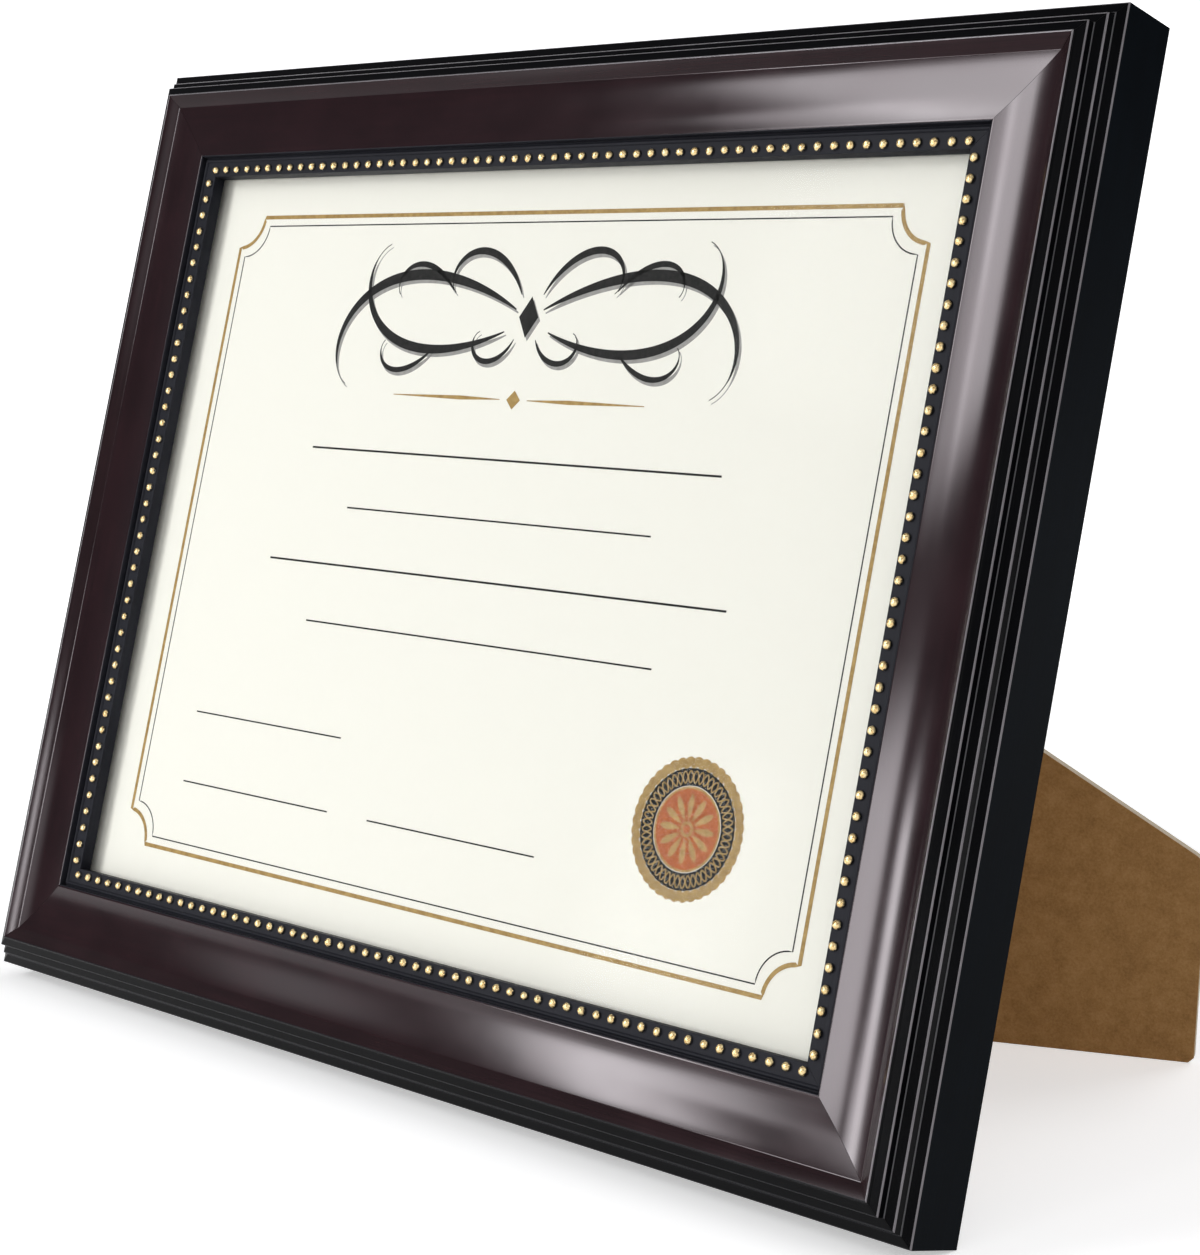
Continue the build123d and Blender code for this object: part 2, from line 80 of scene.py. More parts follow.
INNER_GAP, INNER_RULE = 2.6, 0.35           # border to the fine rule inside it, and its width
NOTCH_R, NOTCH_STEPS = 9, 12                # hollow corners of both
BARREL_R, BARREL_GAP, PIN_D, PIN_EASE = 1.95, 0.3, 2.2, 0.2
LEAF_W, LEAF_T, LEG_T = 34.0, 0.8, 2.5
RIVET_D, RIVET_HEAD_D, RIVET_HEAD_H, RIVET_RIM = 4.0, 7.0, 1.2, 0.15
RIVET_TAIL_D, RIVET_TAIL_TIP_D, RIVET_TAIL_H, RIVET_TAIL_RIM = 5.5, 3.025, 0.4, 0.1
RIVET_PITCH = 20.0
BOARD_RIVET_AT, LEG_RIVET_AT = 13.0, 17.0    # pin to the rivets of each leaf
BUTTON_REACH, BUTTON_W, BUTTON_T = 18.0, 9.0, 1.2
BUTTON_BEND_AT, BUTTON_BEND, BEND_HALF = 12.0, 20.0, 1.0    # place, degrees and half the bend's length
BUTTON_EASE, BUTTON_PLAY = 0.25, 0.1
SCREW_D, SCREW_HEAD_D, SCREW_HEAD_H, SCREW_RIM = 2.8, 6.0, 2.0, 0.6
CROSS_REACH, CROSS_HALF, CROSS_DEPTH = 1.62, 0.36, 1.0      # recess: middle to its end, half width, depth
HANGER_L, HANGER_W, HANGER_T, HANGER_RISE = 46.0, 9.0, 0.9, 1.6
HANGER_TAB, HANGER_RAMP, HANGER_FROM_EDGE = 8.0, 2.5, 13.0
HANGER_CORNER, HANGER_EASE, HANGER_BEND = 1.4, 0.14, 0.3    # rounding in plan, edges and half each bend
HANGER_TEETH, TOOTH_PITCH, TOOTH_DEPTH = 9, 2.6, 1.4
NAIL_D, NAIL_HEAD_D, NAIL_HEAD_H, NAIL_RIM = 1.6, 3.6, 0.7, 0.3
NAIL_V_LEG, NAIL_V_T, NAIL_V_COUNT, NAIL_V_PROUD = 5.0, 0.5, 2, 0.06
WELD = 0.001                # vertices of a solid closer than this are one

SIGHT_W = SHEET_W - 2 * LIP_COVER
SIGHT_H = SHEET_H - 2 * LIP_COVER
OUTER_W = SIGHT_W + 2 * MOULD_W
OUTER_H = SIGHT_H + 2 * MOULD_W
REAR_W = MOULD_W - LIP_COVER - SHEET_PLAY
LIP_H = RABBET_DEPTH + LIP_T
CREST_D = sum(tread + run for tread, climb, run, rise in LEDGES)
CREST_H = SIDE_H + sum(climb + rise for tread, climb, run, rise in LEDGES)
SHEET_FACE = RABBET_DEPTH - GLAZING_T - SHEET_GAP

# The photograph's camera, in the flat frame and in degrees
CAMERA_AT = (480.6, -49.8, 481.7)
CAMERA_TURN = 43.46
CAMERA_DOWN = 7.93
SENSOR = 36.0
LENS = 74.66
CAMERA_CLIP = 0.01, 50.0


def joint(name):
    """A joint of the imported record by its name."""
    return next(j for j in frame["joints"] if j["name"] == name)


def flat_place():
    """Matrix from the flat frame in millimetres to the row frame in metres."""
    low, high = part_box("glazing")
    right = Vector((1, 0, 0))
    toward = -Vector(joint("button_left_turn")["axis"])
    up = toward.cross(right)
    origin = (low + high) / 2 - toward * (RABBET_DEPTH - GLAZING_T / 2) * MM
    turn = Matrix((right, up, toward)).transposed().to_4x4()
    return Matrix.Translation(origin) @ turn @ Matrix.Scale(MM, 4)


FLAT = flat_place()


# Node helpers

def node(tree, kind, inputs=None, **settings):
    """Adds a shader node; an input is a value or the socket that it is linked to."""
    made = tree.nodes.new("ShaderNode" + kind)
    for key, value in settings.items():
        setattr(made, key, value)
    for key, value in (inputs or {}).items():
        if isinstance(value, bpy.types.NodeSocket):
            tree.links.new(value, made.inputs[key])
        else:
            made.inputs[key].default_value = value
    return made


def new_material(name):
    """An empty node material and its tree."""
    material = bpy.data.materials.new(name)
    material.use_nodes = True
    material.node_tree.nodes.clear()
    return material, material.node_tree


def surfaced(material, shader):
    """The material, with a shader as its surface."""
    tree = material.node_tree
    tree.links.new(shader.outputs[0], node(tree, "OutputMaterial").inputs["Surface"])
    return material


def position(tree):
    """Place of the shaded point."""
    return node(tree, "NewGeometry").outputs["Position"]


def stretched_noise(tree, coordinates, scale, detail, roughness=0.55):
    """Noise from coordinates scaled by a vector, as a value from 0 to 1."""
    mapped = node(tree, "Mapping", {"Vector": coordinates, "Scale": scale})
    noise = node(tree, "TexNoise", {"Vector": mapped.outputs[0], "Scale": 1.0, "Detail": detail,
                                    "Roughness": roughness})
    return noise.outputs["Fac"]


def ramp(tree, fac, stops):
    """Colour ramp through (position, colour) stops."""
    made = node(tree, "ValToRGB", {"Fac": fac})
    elements = made.color_ramp.elements
    while len(elements) < len(stops):
        elements.new(0.5)
    for element, (at, colour) in zip(elements, stops):
        element.position = at
        element.color = (*colour, 1)
    return made.outputs["Color"]


def span(tree, value, low, high, from_low=0.0, from_high=1.0):
    """Maps a value to a new range."""
    return node(tree, "MapRange", {"Value": value, "From Min": from_low, "From Max": from_high,
                                   "To Min": low, "To Max": high}).outputs["Result"]


def most(tree, first, second):
    """The larger of two values."""
    return node(tree, "Math", {0: first, 1: second}, operation="MAXIMUM").outputs[0]


def product(tree, first, second):
    """One value times another."""
    return node(tree, "Math", {0: first, 1: second}, operation="MULTIPLY").outputs[0]


def mix_colour(tree, fac, first, second):
    """Blend of two colours, each a colour or a socket."""
    ends = [(*one, 1) if isinstance(one, tuple) else one for one in (first, second)]
    return node(tree, "Mix", {0: fac, 6: ends[0], 7: ends[1]}, data_type="RGBA").outputs[2]


def bump(tree, height, distance):
    """Normal from a height value, with its distance in millimetres."""
    made = node(tree, "Bump", {"Height": height, "Distance": distance * MM, "Strength": 1.0})
    return made.outputs["Normal"]


# Materials

GRAIN_SCALE, SHEEN_SCALE = (26, 1500, 1), (45, 70, 1)   # noise cells per metre along and across the grain


def lacquer(name, dark, light, roughness, grain_depth, specular, tint=(1.0, 1.0, 1.0)):
    """Semi-gloss lacquer over wood: colour and sheen follow the grain, which runs along U."""
    material, tree = new_material(name)
    uv = node(tree, "UVMap").outputs["UV"]
    grain = stretched_noise(tree, uv, GRAIN_SCALE, 6.0, 0.6)
    cloud = stretched_noise(tree, uv, SHEEN_SCALE, 3.0)
    blend = product(tree, grain, cloud)
    colour = ramp(tree, span(tree, blend, 0, 1, 0.08, 0.45), [(0.0, dark), (1.0, light)])
    shader = node(tree, "BsdfPrincipled", {
        "Base Color": colour,
        "Roughness": span(tree, cloud, roughness - 0.03, roughness + 0.04),
        "Specular IOR Level": specular,
        "Specular Tint": (*tint, 1),
        "Normal": bump(tree, grain, grain_depth),
    })
    return surfaced(material, shader)


def gold_leaf():
    """Gold over the crown of a bead, turning dark charcoal towards its rim."""
    material, tree = new_material("bead_gilt")
    crown = node(tree, "Attribute", attribute_name="crown").outputs["Fac"]
    here = position(tree)
    fleck = stretched_noise(tree, here, (1500, 1500, 1500), 3.0)
    cover = node(tree, "Math", {0: crown, 1: span(tree, fleck, -0.45, 0.45)}, operation="ADD").outputs[0]
    mask = span(tree, cover, 0, 1, 0.42, 0.56)
    gilt = ramp(tree, fleck, [(0.3, (0.76, 0.49, 0.18)), (0.7, (1.0, 0.84, 0.48))])
    shader = node(tree, "BsdfPrincipled", {
        "Base Color": mix_colour(tree, mask, (0.018, 0.017, 0.018), gilt),
        "Metallic": span(tree, mask, 0, 0.8),
        "Roughness": span(tree, fleck, 0.20, 0.36),
        "Normal": bump(tree, fleck, 0.12),
    })
    return surfaced(material, shader)


def clear_glass():
    """Thin glazing: it lets light straight through and keeps a faint gloss."""
    material, tree = new_material("glazing_clear")
    through = node(tree, "BsdfTransparent", {"Color": (0.985, 0.99, 0.985, 1)})
    gloss = node(tree, "BsdfGlossy", {"Color": (1, 1, 1, 1), "Roughness": 0.03})
    rim = node(tree, "LayerWeight", {"Blend": 0.12}).outputs["Fresnel"]
    amount = product(tree, rim, 0.25)
    both = node(tree, "MixShader", {0: amount, 1: through.outputs[0], 2: gloss.outputs[0]})
    return surfaced(material, both)


def paper():
    """Smooth warm-white certificate stock with a faint fibre."""
    material, tree = new_material("certificate_stock")
    here = position(tree)
    fibre = stretched_noise(tree, here, (900, 900, 900), 5.0, 0.65)
    colour = ramp(tree, fibre, [(0.3, (0.93, 0.905, 0.835)), (0.7, (0.955, 0.93, 0.865))])
    shader = node(tree, "BsdfPrincipled", {"Base Color": colour, "Roughness": 0.75,
                                           "Specular IOR Level": 0.2, "Normal": bump(tree, fibre, 0.02)})
    return surfaced(material, shader)


def ink(name, dark, light, roughness=0.6):
    """Printed ink with a slightly uneven lay."""
    material, tree = new_material(name)
    here = position(tree)
    lay = stretched_noise(tree, here, (700, 700, 700), 4.0)
    shader = node(tree, "BsdfPrincipled", {"Base Color": ramp(tree, lay, [(0.35, dark), (0.65, light)]),
                                           "Roughness": roughness, "Specular IOR Level": 0.2})
    return surfaced(material, shader)


def fibreboard(name, dark, mid, light, edge):
    """Hardboard: fine brown fibre, darker flecks, and a pale core on the faces marked as cut, painted paler than
    bare core so that it also stands as a painted highlight along the edges.
    """
    material, tree = new_material(name)
    here = position(tree)
    fine = stretched_noise(tree, here, (1400, 1400, 1400), 6.0, 0.7)
    cloud = stretched_noise(tree, here, (190, 190, 190), 5.0, 0.65)
    weave = node(tree, "Math", {0: fine, 1: cloud}, operation="ADD").outputs[0]
    face = ramp(tree, span(tree, weave, 0, 1, 0.6, 1.4), [(0.15, dark), (0.5, mid), (0.9, light)])
    spots = node(tree, "TexVoronoi", {"Vector": here, "Scale": 24.0})
    speck = span(tree, spots.outputs["Distance"], 1, 0, 0.025, 0.045)
    face = mix_colour(tree, speck, face, tuple(0.35 * c for c in dark))
    side = node(tree, "Attribute", attribute_name="cut_edge").outputs["Fac"]
    # core colour painted paler than bare hardboard, so that the cut edges also show a painted highlight
    pale = ramp(tree, fine, [(0.3, tuple(0.75 * c for c in edge)), (0.7, edge)])
    shader = node(tree, "BsdfPrincipled", {"Base Color": mix_colour(tree, side, face, pale),
                                           "Roughness": span(tree, fine, 0.72, 0.9),
                                           "Specular IOR Level": 0.25, "Normal": bump(tree, fine, 0.06)})
    return surfaced(material, shader)


def plated_steel(name, dark, light, roughness):
    """Plated pressed steel with fine scratches and a clouded sheen."""
    material, tree = new_material(name)
    here = position(tree)
    scratch = stretched_noise(tree, here, (300, 300, 4200), 4.0, 0.7)
    cloud = stretched_noise(tree, here, (160, 160, 160), 3.0)
    shader = node(tree, "BsdfPrincipled", {
        "Base Color": ramp(tree, cloud, [(0.3, dark), (0.7, light)]),
        "Metallic": 1.0,
        "Roughness": span(tree, scratch, roughness - 0.08, roughness + 0.12),
        "Normal": bump(tree, scratch, 0.01),
    })
    return surfaced(material, shader)


# Mesh helpers

def new_object(name, data):
    """An object in the scene."""
    thing = bpy.data.objects.new(name, data)
    bpy.context.scene.collection.objects.link(thing)
    return thing


def new_piece(name, verts, faces, materials, place=FLAT, body="frame"):
    """A mesh built in millimetres, set into the row frame and riding on a body."""
    mesh = bpy.data.meshes.new(name)
    mesh.from_pydata([place @ Vector(v) for v in verts], [], faces)
    for material in materials:
        mesh.materials.append(material)
    mesh.validate()
    thing = new_object(name, mesh)
    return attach(thing, body)


def smooth(thing, angle=35.0):
    """Smooth shading with edges kept sharp above an angle."""
    thing.data.polygons.foreach_set("use_smooth", [True] * len(thing.data.polygons))
    thing.data.set_sharp_from_angle(angle=math.radians(angle))
    return thing


def face_out(thing):
    """Turns every face of a closed mesh outwards."""
    shape = bmesh.new()
    shape.from_mesh(thing.data)
    bmesh.ops.recalc_face_normals(shape, faces=shape.faces)
    shape.to_mesh(thing.data)
    shape.free()
    return thing


def walk(points, index, distance, step):
    """Point on a polyline at a distance from one of its corners, and the corner past it."""
    here, i = points[index], index
    while True:
        far = points[i + step]
        length = math.dist(here, far)
        if length >= distance:
            share = distance / length
            return tuple(a + (b - a) * share for a, b in zip(here, far)), i + step
        distance -= length
        here, i = far, i + step


def eased(points, corner, radius, steps=6):
    """The polyline with one of its corners eased by a curve that starts radius before it."""
    index = min(range(len(points)), key=lambda i: math.dist(points[i], corner))
    before = walk(points, index, radius, -1)[0]
    after = walk(points, index, radius, 1)[0]
    flat_before, low = walk(points, index, radius + HOLD, -1)
    flat_after, high = walk(points, index, radius + HOLD, 1)
    curve = [flat_before]
    for i in range(steps + 1):
        t = i / steps
        weights = ((1 - t) ** 2, 2 * t * (1 - t), t * t)
        curve.append(tuple(sum(w * p[k] for w, p in zip(weights, (before, points[index], after)))
                           for k in (0, 1)))
    return points[:low + 1] + curve + [flat_after] + points[high:]


def hollow(start, end, depth, steps):
    """Points of an arc that sags by depth between start and end, without its start."""
    run = (end[0] - start[0], end[1] - start[1])
    points = []
    for i in range(1, steps + 1):
        t = i / steps
        sag = 4 * depth * t * (1 - t)
        points.append((start[0] + run[0] * t, start[1] + run[1] * t - sag))
    return points


def banded(rings, count):
    """Faces between rings of vertices, with both ends closed."""
    faces = []
    for r in range(rings - 1):
        for i in range(count):
            j = (i + 1) % count
            faces.append((r * count + i, r * count + j, (r + 1) * count + j, (r + 1) * count + i))
    last = (rings - 1) * count
    return faces + [tuple(reversed(range(count))), tuple(range(last, last + count))]


def prism(outline, low, high):
    """Vertices and faces of an outline extruded from low to high."""
    return [(x, y, z) for z in (low, high) for x, y in outline], banded(2, len(outline))


# Moulding

def ledge_corners():
    """Top of the side and of each riser, and the foot of each riser."""
    tops, feet = [(0.0, SIDE_H)], []
    for tread, climb, run, rise in LEDGES:
        d, h = tops[-1][0] + tread, tops[-1][1] + climb
        feet.append((d, h))
        tops.append((d + run, h + rise))
    return tops, feet


def section():
    """Moulding section as a closed outline, from the rear outer corner up and over to the rear again."""
    arrises, feet = ledge_corners()
    points = [(0.0, 0.0), arrises[0]]
    for foot, top in zip(feet, arrises[1:]):
        points += [foot, top]
    ease = (CREST_D + STEEP_W, CREST_H - STEEP_DROP)
    step = (MOULD_W - LIP_W, CREST_H - SCOOP_DROP)
    roll = step[0] + ROLL_GAP
    points += hollow(points[-1], ease, -STEEP_SWELL, 10)
    points += hollow(ease, step, SCOOP_HOLLOW, 28)
    points += [(step[0], LIP_H), (roll, LIP_H)]
    points += hollow((roll, LIP_H), (roll + ROLL_W, LIP_H), -ROLL_H, 10)
    points += [(MOULD_W, LIP_H), (MOULD_W, RABBET_DEPTH), (REAR_W, RABBET_DEPTH), (REAR_W, 0.0)]
    for corner in arrises + [(MOULD_W, LIP_H)]:
        points = eased(points, corner, ARRIS_R)
    for corner in feet:
        points = eased(points, corner, FOOT_R)
    points = eased(points, ease, EASE_R)
    return eased(points, step, STEP_R)


def section_zone(d, h):
    """Zone that a place on the section's outline lies in, as rail_finishes names it."""
    arrises, feet = ledge_corners()
    # the roundings at the top and the foot of each riser take painted highlights in rail_finishes
    if min(math.dist((d, h), corner) for corner in arrises) < ARRIS_R:
        return "arris"
    if min(math.dist((d, h), corner) for corner in feet[:-1]) < FOOT_R:
        return "foot"
    if h < WELD or (d > CREST_D and h < RABBET_DEPTH + WELD and d < MOULD_W - WELD):
        return "back"
    if d < WELD:
        return "side"
    if d < CREST_D + WELD:
        return "ledge"
    if d < CREST_D + STEEP_W:
        return "slope"
    return "scoop" if d < MOULD_W - LIP_W - STEP_R / 2 else "lip"


def rail(node_name, length, across, turn, finishes):
    """Mitred rail whose outer edge lies across from the middle, turned about w."""
    outline = section()
    count = len(outline)
    zones = list(finishes)
    place = FLAT @ Matrix.Rotation(math.radians(turn), 4, "Z")
    verts = []
    for end in (-1, 1):
        verts += [(end * (length / 2 - d - MITRE_GAP), across - d, h) for d, h in outline]
    thing = new_piece(node_name + "_moulding", verts, banded(2, count), finishes.values(), place)
    run = [0.0]
    for a, b in zip(outline, outline[1:] + outline[:1]):
        run.append(run[-1] + math.dist(a, b))
    layer = thing.data.uv_layers.new(name="UVMap")
    for polygon in thing.data.polygons[:count]:
        i = polygon.index
        a, b = outline[i], outline[(i + 1) % count]
        polygon.material_index = zones.index(section_zone((a[0] + b[0]) / 2, (a[1] + b[1]) / 2))
        for loop in polygon.loop_indices:
            vertex = thing.data.loops[loop].vertex_index
            along = verts[vertex][0] + (length + MOULD_W) * turn / 90
            up = run[i + 1] if vertex % count == (i + 1) % count else run[i]
            layer.data[loop].uv = (along * MM, up * MM)
    face_out(thing)
    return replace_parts(smooth(thing, 50), node_name)


MAHOGANY = (0.0080, 0.0018, 0.0028), (0.0200, 0.0055, 0.0075)
# painted sheen: the slope's mahogany, painted lighter and greyer than the scoop's for the reflection it shows
SLOPE_SHEEN = (0.0120, 0.0060, 0.0070), (0.0250, 0.0110, 0.0130)
MAUVE = (1.0, 0.93, 0.975)      # tint of the lacquer's sheen


def rail_finishes():
    """Lacquer of each zone of the section."""
    return {
        "back": lacquer("moulding_back", (0.010, 0.008, 0.007), (0.030, 0.022, 0.018), 0.62, 0.05, 0.3),
        "ledge": lacquer("moulding_black", (0.0010, 0.0010, 0.0014), (0.0022, 0.0024, 0.0032),
                         0.20, 0.003, 0.09),
        "scoop": lacquer("moulding_mahogany", *MAHOGANY, 0.12, 0.002, 0.5, MAUVE),
        "lip": lacquer("moulding_lip", (0.0125, 0.0130, 0.0175), (0.0200, 0.0210, 0.0275), 0.50, 0.006, 0.10),
        "side": lacquer("moulding_side", (0.0005, 0.0015, 0.0027), (0.0014, 0.0032, 0.0056),
                        0.35, 0.010, 0.02),
        # painted highlight: the rounded arris at the top of each riser is painted light grey as the line of light
        # its edge catches
        "arris": lacquer("moulding_arris_highlight", (0.110, 0.103, 0.110), (0.200, 0.190, 0.202),
                         0.26, 0.004, 0.8, MAUVE),
        # painted highlight: the foot of each riser is painted grey as a line of light
        "foot": lacquer("moulding_foot_highlight", (0.040, 0.039, 0.043), (0.080, 0.078, 0.085), 0.30, 0.004, 0.5),
        # painted sheen on the slope of the stiles and the bottom rail
        "slope": lacquer("moulding_slope_sheen", *SLOPE_SHEEN, 0.14, 0.002, 0.3, MAUVE),
    }


def rails():
    """The four rails. The bottom one's arrises and riser feet are painted dark as shade, and the top one's slope
    keeps the scoop's mahogany with less gloss, as painted shade beside the painted sheen of the other slopes.
    """
    finishes = rail_finishes()
    # painted shade: the bottom rail's downward edges get dark paint in place of the painted highlights of the
    # other rails
    bottom_edge_shade = lacquer("moulding_bottom_arris_shade", (0.006, 0.006, 0.008), (0.012, 0.012, 0.015), 0.34, 0.004, 0.12)
    # painted shade: the top rail's slope, darker and less glossy than the other slopes
    shaded = lacquer("moulding_top_slope", *MAHOGANY, 0.14, 0.002, 0.2, MAUVE)
    rail("top_rail", OUTER_W, OUTER_H / 2, 0, {**finishes, "slope": shaded})
    rail("bottom_rail", OUTER_W, OUTER_H / 2, 180, {**finishes, "arris": bottom_edge_shade, "foot": bottom_edge_shade})
    rail("left_stile", OUTER_H, OUTER_W / 2, 90, finishes)
    rail("right_stile", OUTER_H, OUTER_W / 2, -90, finishes)


# Bead row

BEAD_RINGS, BEAD_SEGMENTS = 6, 14
# Unevenness of a bead, as shares of its size, then the lean of its crown in millimetres and the dents
BEAD_WIDE, BEAD_LONG, BEAD_TALL = (0.93, 1.03), (0.90, 1.03), (0.86, 1.0)
BEAD_LEAN, BEAD_DENT = (-0.14, 0.14), (-0.05, 0.05)
BEAD_FULLNESS = 0.8         # below 1 the dome bulges
BEAD_SEED = 7


def bead_mesh(verts, faces, crowns, at, draw):
    """Adds one slightly uneven dome to the lists."""
    base = len(verts)
    wide = BEAD_D / 2 * draw.uniform(*BEAD_WIDE)
    long = BEAD_D / 2 * draw.uniform(*BEAD_LONG)
    tall = BEAD_H * draw.uniform(*BEAD_TALL)
    lean = (draw.uniform(*BEAD_LEAN), draw.uniform(*BEAD_LEAN))
    for level in range(BEAD_RINGS):
        rise = math.sin(math.pi / 2 * level / BEAD_RINGS)
        spread = math.cos(math.pi / 2 * level / BEAD_RINGS) ** BEAD_FULLNESS
        for i in range(BEAD_SEGMENTS):
            angle = 2 * math.pi * i / BEAD_SEGMENTS
            dent = 1 + draw.uniform(*BEAD_DENT) * rise
            verts.append((at[0] + wide * spread * dent * math.cos(angle) + lean[0] * rise,
                          at[1] + long * spread * dent * math.sin(angle) + lean[1] * rise,
                          at[2] + tall * rise))
            crowns.append(rise)
    verts.append((at[0] + lean[0], at[1] + lean[1], at[2] + tall))
    crowns.append(1.0)
    top = len(verts) - 1
    faces += [tuple(base + i for i in face) for face in banded(BEAD_RINGS, BEAD_SEGMENTS)[:-1]]
    last = top - BEAD_SEGMENTS
    faces += [(last + i, last + (i + 1) % BEAD_SEGMENTS, top) for i in range(BEAD_SEGMENTS)]


def bead_row(node_name, sight_length, sight_other, turn, material, draw):
    """Gilded beads along one rail."""
    line = sight_length + 2 * BEAD_INSET
    count = math.floor((line - 2 * BEAD_CORNER) / BEAD_PITCH) + 1
    first = -(count - 1) * BEAD_PITCH / 2
    verts, faces, crowns = [], [], []
    for i in range(count):
        at = (first + i * BEAD_PITCH, sight_other / 2 + BEAD_INSET, LIP_H)
        bead_mesh(verts, faces, crowns, at, draw)
    place = FLAT @ Matrix.Rotation(math.radians(turn), 4, "Z")
    thing = new_piece(node_name + "_gilt", verts, faces, [material], place)
    thing.data.attributes.new("crown", "FLOAT", "POINT").data.foreach_set("value", crowns)
    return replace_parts(smooth(thing, 60), node_name)


def bead_rows():
    """The four bead rows."""
    gilt = gold_leaf()
    draw = random.Random(BEAD_SEED)
    for side, turn in (("top", 0), ("bottom", 180)):
        bead_row(side + "_beads", SIGHT_W, SIGHT_H, turn, gilt, draw)
    for side, turn in (("left", 90), ("right", -90)):
        bead_row(side + "_beads", SIGHT_H, SIGHT_W, turn, gilt, draw)


# Glazing, sheet and print

def rectangle(width, height):
    """Outline of a centred rectangle."""
    x, y = width / 2, height / 2
    return [(-x, -y), (x, -y), (x, y), (-x, y)]


def sheet_and_glass():
    """The certificate stock and the glazing in front of it."""
    verts, faces = prism(rectangle(SHEET_W, SHEET_H), SHEET_FACE - SHEET_T, SHEET_FACE)
    stock = new_piece("certificate_sheet", verts, faces, [paper()])
    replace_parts(stock, "certificate")
    pane_size = rectangle(SHEET_W + PANE_OVER, SHEET_H + PANE_OVER)
    verts, faces = prism(pane_size, RABBET_DEPTH - GLAZING_T, RABBET_DEPTH - PANE_GAP)
    pane = new_piece("glazing_pane", verts, faces, [clear_glass()])
    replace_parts(pane, "glazing")


class Print:
    """One ink of the sheet's print: flat shapes gathered into a single thin piece."""

    def __init__(self, name, level, material):
        self.name, self.level, self.material = name, level, material
        self.verts, self.faces = [], []

    def polygon(self, points):
        """A filled outline."""
        base = len(self.verts)
        self.verts += points
        self.faces.append(tuple(range(base, base + len(points))))

    def ribbon(self, path, closed=False):
        """A stroke through (u, v, width) points."""
        base, count = len(self.verts), len(path)
        for i, (u, v, width) in enumerate(path):
            before = path[i - 1] if closed or i > 0 else path[i]
            after = path[(i + 1) % count] if closed or i < count - 1 else path[i]
            run, rise = after[0] - before[0], after[1] - before[1]
            share = width / 2 / math.hypot(run, rise)
            self.verts += [(u - rise * share, v + run * share), (u + rise * share, v - run * share)]
        for i in range(count if closed else count - 1):
            a, b = base + 2 * i, base + 2 * ((i + 1) % count)
            self.faces.append((a, a + 1, b + 1, b))

    def lay(self):
        """Makes the piece, as thick as a coat of ink."""
        low = SHEET_FACE + self.level * INK_T
        thing = new_piece(self.name, [(u, v, low) for u, v in self.verts], self.faces, [self.material])
        coat = thing.modifiers.new("coat", "SOLIDIFY")
        coat.thickness, coat.offset = INK_T * MM, 1.0


def ring(centre, radius, width, waves=0, swing=0.0, turn=0.0, steps=288):
    """Closed path round a centre, whose radius can swing in waves."""
    path = []
    for i in range(steps):
        angle = 2 * math.pi * i / steps
        r = radius + swing * math.cos(waves * angle + turn)
        path.append((centre[0] + r * math.cos(angle), centre[1] + r * math.sin(angle), width))
    return path


def scroll(start, heading, length, bend, curl, width, side, steps=64):
    """Pen stroke that leaves a point at a heading and curls up towards its end."""
    u, v, angle = start[0], start[1], math.radians(heading)
    path = []
    for i in range(steps + 1):
        t = i / steps
        swell = math.sin(math.pi * min(1.0, t * 1.04 + 0.02)) ** 0.75
        path.append((side * u, v, max(PEN_LEAST, width * swell)))
        angle += (bend + curl * t ** 3) / steps
        u += math.cos(angle) * length / steps
        v += math.sin(angle) * length / steps
    return path


def lozenge(u, v, wide, tall):
    """Diamond outline."""
    return [(u - wide / 2, v), (u, v - tall / 2), (u + wide / 2, v), (u, v + tall / 2)]


def notched_frame(inset, width):
    """Closed rule inside the sight edge, with a hollow quarter circle at each corner."""
    x, y = SIGHT_W / 2 - inset, SIGHT_H / 2 - inset
    path = []
    for sx, sy, start in ((1, 1, 0), (-1, 1, 90), (-1, -1, 180), (1, -1, 270)):
        for i in range(NOTCH_STEPS + 1):
            angle = math.radians(start + 270 - 90 * i / NOTCH_STEPS)
            path.append((sx * x + NOTCH_R * math.cos(angle), sy * y + NOTCH_R * math.sin(angle), width))
    return path


# Heading flourish: start, heading, length, bend, curl, width of each mirrored stroke
SCROLLS = [
    ((5, 66), 26, 92, -0.9, -9.0, 3.0),
    ((8, 60), -22, 78, 1.0, 8.5, 2.6),
    ((4, 70), 62, 40, -1.6, -8.0, 2.0),
    ((30, 71), 48, 30, -1.2, -8.0, 1.6),
    ((34, 55), -46, 28, 1.2, 8.0, 1.5),
    ((4, 58), -66, 24, 2.2, 7.0, 1.5),
]
PEN_LEAST = 0.25
HEADING_AT, HEADING_LOZENGE = (0, 64), (7, 11)
SHADOW_SHIFT = (0.9, -0.9)
RULES = [(26, 150, 0.55), (10, 112, 0.45), (-6, 168, 0.55), (-22, 128, 0.45)]   # height, length, width
SIGNATURES = [((-72, -52), 62), ((-72, -72), 62), ((6, -72), 62)]               # middle, length
SIGNATURE_RULE = 0.4
DIVIDER_V, DIVIDER_LOZENGE = 42, 5
DIVIDER = [(5, 0.2), (20, 1.1), (46, 0.2)]      # from the middle outwards, and the width there
SEAL_AT, SEAL_R = (84, -58), 17.0
# Shares of the seal's radius: radius and width of the rim, the dark band and the eye, radius of the
# middle, swing of the scallops and of the woven line, and the radius and width along each petal
RIM, RIM_W, BAND, BAND_W, EYE, EYE_W = 0.93, 0.13, 0.73, 0.25, 0.09, 0.05
MIDDLE, SCALLOP, WEAVE = 0.58, 0.022, 0.085
PETAL = [(0.14, 0.02), (0.24, 0.07), (0.36, 0.11), (0.44, 0.08), (0.5, 0.01)]
PETALS, SCALLOPS, WEAVES = 12, 40, 24
WEAVE_RULE, MIDDLE_RULE = 0.32, 0.6


